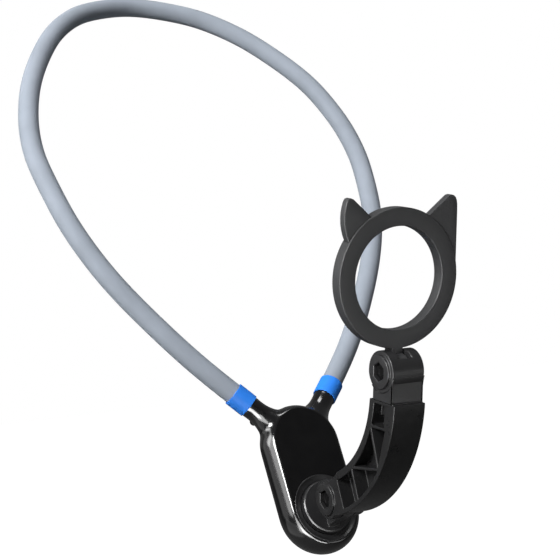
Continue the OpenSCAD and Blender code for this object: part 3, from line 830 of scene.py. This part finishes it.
class OBJECT_OT_hinge_fasteners(bpy.types.Operator):
    """Rounds the screws and nuts of both hinges and finishes their washers"""

    bl_idname = "object.holder_hinge_fasteners"
    bl_label = "Hinge fasteners"

    def execute(self, context):
        for level in ("lower", "upper"):
            for part in ("screw", "nut"):
                node = f"{level}_hinge_{part}"
                rounded_copy(
                    node, node + "_set", "arm", "hinge_screw_black", context, HINGE_ROUND)
            painted(level + "_washers", "washer_nylon", context)
        return {"FINISHED"}


# The magnetic ring

def magnet_frame():
    """The frame at the magnetic ring's centre: z out of its front face."""
    centre = Vector(JOINTS["ring_tilt"]["pos_m"]) + Vector((0, RING_BACK, RING_DROP)) * MM
    return corner_frame(centre, Vector((1, 0, 0)), Vector((0, 0, 1)), Vector((0, -1, 0)))


def rounded_band(inner, outer, back, lip=0.4):
    """A band's section whose two front edges are rounded."""
    steps = 5
    curve = [(lip * (1 - math.cos(a)), -lip * (1 - math.sin(a)))
             for a in (math.radians(90 * k / steps) for k in range(steps + 1))]
    return ([(inner, back)] + [(inner + x, z) for x, z in curve]
            + [(outer - x, z) for x, z in reversed(curve)] + [(outer, back), (inner, back)])


def plate(outline, z0, z1, edge=0.35):
    """A flat outline made a plate whose front edge is rounded."""
    bm = bmesh.new()
    face = bm.faces.new([bm.verts.new((x, y, z1)) for x, y in outline])
    pulled = bmesh.ops.extrude_face_region(bm, geom=[face])["geom"]
    behind = [g for g in pulled if isinstance(g, bmesh.types.BMVert)]
    bmesh.ops.translate(bm, vec=(0, 0, z0 - z1), verts=behind)
    bmesh.ops.recalc_face_normals(bm, faces=bm.faces)
    front = [e for e in bm.edges if all(abs(v.co.z - z1) < 1e-6 for v in e.verts)]
    bmesh.ops.bevel(bm, geom=front, offset=edge, offset_type="OFFSET", affect="EDGES", segments=3,
                    profile=0.5, material=-1)
    return tidied(bm)


def ring_form():
    """The magnetic ring's housing: band, two ears, neck and lug, with the groove behind."""
    back = PAD_T - RING_T
    lug_half = LUG_W / 2
    lug_place = (Matrix.Translation((0, -RING_DROP, RING_BACK))
                 @ Matrix.Rotation(math.radians(90), 4, "Y"))
    groove_in, groove_out = RING_IN_R + GROOVE_WALL, RING_R - GROOVE_WALL
    groove = [(groove_in, -RING_T - 1), (groove_in, back + GROOVE_D),
              (groove_out, back + GROOVE_D), (groove_out, -RING_T - 1), (groove_in, -RING_T - 1)]
    ears = [plate(outline, -EAR_FRONT - EAR_T, -EAR_FRONT) for outline in EAR_OUTLINES]
    neck = plate(
        [(-lug_half, -RING_DROP), (lug_half, -RING_DROP), (lug_half, RING_NECK_TOP),
         (-lug_half, RING_NECK_TOP)], back, 0, LUG_EDGE)
    lug = turned(
        [(0, -lug_half), (RING_LUG_R - LUG_EDGE, -lug_half), (RING_LUG_R, -lug_half + LUG_EDGE),
         (RING_LUG_R, lug_half - LUG_EDGE), (RING_LUG_R - LUG_EDGE, lug_half), (0, lug_half)],
        96, lug_place)
    return combined(
        turned(rounded_band(RING_IN_R, RING_R, back), 160),
        ("UNION", ears[0]), ("UNION", ears[1]), ("UNION", neck), ("UNION", lug),
        ("DIFFERENCE", rod(RING_IN_R - 0.01, -RING_T - 1, 1, steps=160)),
        ("DIFFERENCE", turned(groove, 160)),
        ("DIFFERENCE", rod(LUG_BORE_R, -9, 9, lug_place)),
    )


class OBJECT_OT_magnetic_ring(bpy.types.Operator):
    """Rounds the ring's housing and finishes the magnets, cover and pad behind it"""

    bl_idname = "object.holder_magnetic_ring"
    bl_label = "Magnetic ring"

    def execute(self, context):
        piece(ring_form(), "ring_body", magnet_frame(), "ring", "ring_grey", context,
              ("ring_housing",))
        painted("steel_ring", "wire_steel", context)
        painted("magnets", "magnet_nickel", context)
        painted("ring_cover", "trim_black", context)
        painted("face_pad", "pad_rubber", context)
        return {"FINISHED"}


# The stage

def lamp(name, place, aim, width, height, power, panel):
    """An area lamp. A panel shows in gloss only, as a reflector beside the object does."""
    data = bpy.data.lights.new(name, "AREA")
    data.shape = "RECTANGLE"
    data.size, data.size_y, data.energy = width, height, power
    obj = bpy.data.objects.new(name, data)
    obj.location = place
    obj.rotation_euler = (Vector(aim) - Vector(place)).to_track_quat("-Z", "Y").to_euler()
    obj.visible_diffuse = not panel
    obj.visible_camera = False
    bpy.context.scene.collection.objects.link(obj)


def world_light(level, gloss_share):
    """A white background for what the lens and glass see, a small share of it in reflections, and a
    level grey for soft light.
    """
    world = bpy.data.worlds.new("studio")
    bpy.context.scene.world = world
    world.use_nodes = True
    tree = world.node_tree
    soft = tree.nodes["Background"]
    soft.inputs["Color"].default_value = (1, 1, 1, 1)
    soft.inputs["Strength"].default_value = level
    white = tree.nodes.new("ShaderNodeBackground")
    white.inputs["Color"].default_value = (1, 1, 1, 1)
    white.inputs["Strength"].default_value = 1.0
    path = tree.nodes.new("ShaderNodeLightPath")
    gloss = tree.nodes.new("ShaderNodeMath")
    gloss.operation = "MULTIPLY_ADD"
    gloss.inputs[1].default_value = gloss_share
    tree.links.new(path.outputs["Is Glossy Ray"], gloss.inputs[0])
    tree.links.new(path.outputs["Is Transmission Ray"], gloss.inputs[2])
    seen = tree.nodes.new("ShaderNodeMath")
    seen.operation = "MAXIMUM"
    tree.links.new(path.outputs["Is Camera Ray"], seen.inputs[0])
    tree.links.new(gloss.outputs["Value"], seen.inputs[1])
    mix = tree.nodes.new("ShaderNodeMixShader")
    tree.links.new(seen.outputs["Value"], mix.inputs["Fac"])
    tree.links.new(soft.outputs["Background"], mix.inputs[1])
    tree.links.new(white.outputs["Background"], mix.inputs[2])
    tree.links.new(mix.outputs["Shader"], tree.nodes["World Output"].inputs["Surface"])


def pale_floor():
    """A pale floor that the lens sees as near white, and that throws little light back up."""
    bm = bmesh.new()
    bmesh.ops.create_grid(bm, x_segments=1, y_segments=1, size=FLOOR_HALF,
                          matrix=Matrix.Translation((0, 0, FLOOR_LEVEL)))
    floor = loose_object(bm, "floor")
    f = Finish("floor_paint")
    path = f.tree.nodes.new("ShaderNodeLightPath")
    pale = f.tree.nodes.new("ShaderNodeMix")
    pale.data_type = "RGBA"
    pale.inputs["A"].default_value = (0.22, 0.22, 0.22, 1)
    f.tree.links.new(path.outputs["Is Camera Ray"], pale.inputs["Factor"])
    f.tree.links.new(
        f.colours(f.noise(60.0), (0.83, 0.83, 0.83), (0.86, 0.86, 0.86)), pale.inputs["B"])
    f.to("Base Color", pale.outputs["Result"])
    f.shader.inputs["Roughness"].default_value = 0.9
    f.shader.inputs["Emission Color"].default_value = (1, 1, 1, 1)
    glow = f.tree.nodes.new("ShaderNodeMath")
    glow.operation = "MULTIPLY"
    glow.inputs[1].default_value = FLOOR_GLOW
    f.tree.links.new(path.outputs["Is Camera Ray"], glow.inputs[0])
    f.to("Emission Strength", glow.outputs["Value"])
    floor.data.materials.append(f.material)
    return floor


class OBJECT_OT_stage(bpy.types.Operator):
    """Sets the camera, the pale floor and the soft studio light"""

    bl_idname = "object.holder_stage"
    bl_label = "Stage"

    def execute(self, context):
        scene = context.scene
        scene.view_settings.view_transform = "Standard"
        camera = bpy.data.cameras.new("camera")
        camera.lens = LENS
        camera.sensor_width = SENSOR
        camera.clip_start = CLIP_START
        view = bpy.data.objects.new("camera", camera)
        right = Vector(CAMERA_RIGHT).normalized()
        back = Vector(CAMERA_BACK).normalized()
        view.matrix_world = corner_frame(Vector(CAMERA_PLACE), right, back.cross(right), back)
        scene.collection.objects.link(view)
        scene.camera = view

        floor = pale_floor()

        world_light(WORLD_LEVEL, WORLD_GLOSS)
        aim = Vector(LAMP_AIM)
        for name, direction, distance, width, height, power, panel in LAMPS:
            lamp(name, aim + distance * Vector(direction), aim, width, height, power, panel)
        return {"FINISHED"}


class VIEW3D_PT_holder(bpy.types.Panel):
    """Lists the holder's settings and building steps"""

    bl_label = "Neck phone holder"
    bl_idname = "VIEW3D_PT_holder"
    bl_space_type = "VIEW_3D"
    bl_region_type = "UI"
    bl_category = "Neck holder"

    def draw(self, context):
        layout = self.layout
        for group in (context.scene.holder_sizes, context.scene.holder_colours):
            for name in group.__annotations__:
                layout.prop(group, name)
        for step in STEPS:
            layout.operator(step.bl_idname)


STEPS = (
    OBJECT_OT_neck_loop,
    OBJECT_OT_collars,
    OBJECT_OT_hub_shells,
    OBJECT_OT_hub_trim,
    OBJECT_OT_turntable,
    OBJECT_OT_truss_arm,
    OBJECT_OT_hinge_fasteners,
    OBJECT_OT_magnetic_ring,
    OBJECT_OT_stage,
)
CLASSES = (HolderSizes, HolderColours, *STEPS, VIEW3D_PT_holder)


def register():
    for cls in CLASSES:
        bpy.utils.register_class(cls)
    bpy.types.Scene.holder_sizes = PointerProperty(type=HolderSizes)
    bpy.types.Scene.holder_colours = PointerProperty(type=HolderColours)


def unregister():
    del bpy.types.Scene.holder_colours
    del bpy.types.Scene.holder_sizes
    for cls in reversed(CLASSES):
        bpy.utils.unregister_class(cls)


def main():
    register()
    for step in STEPS:
        group, name = step.bl_idname.split(".")
        getattr(getattr(bpy.ops, group), name)()


if __name__ == "__main__":
    main()
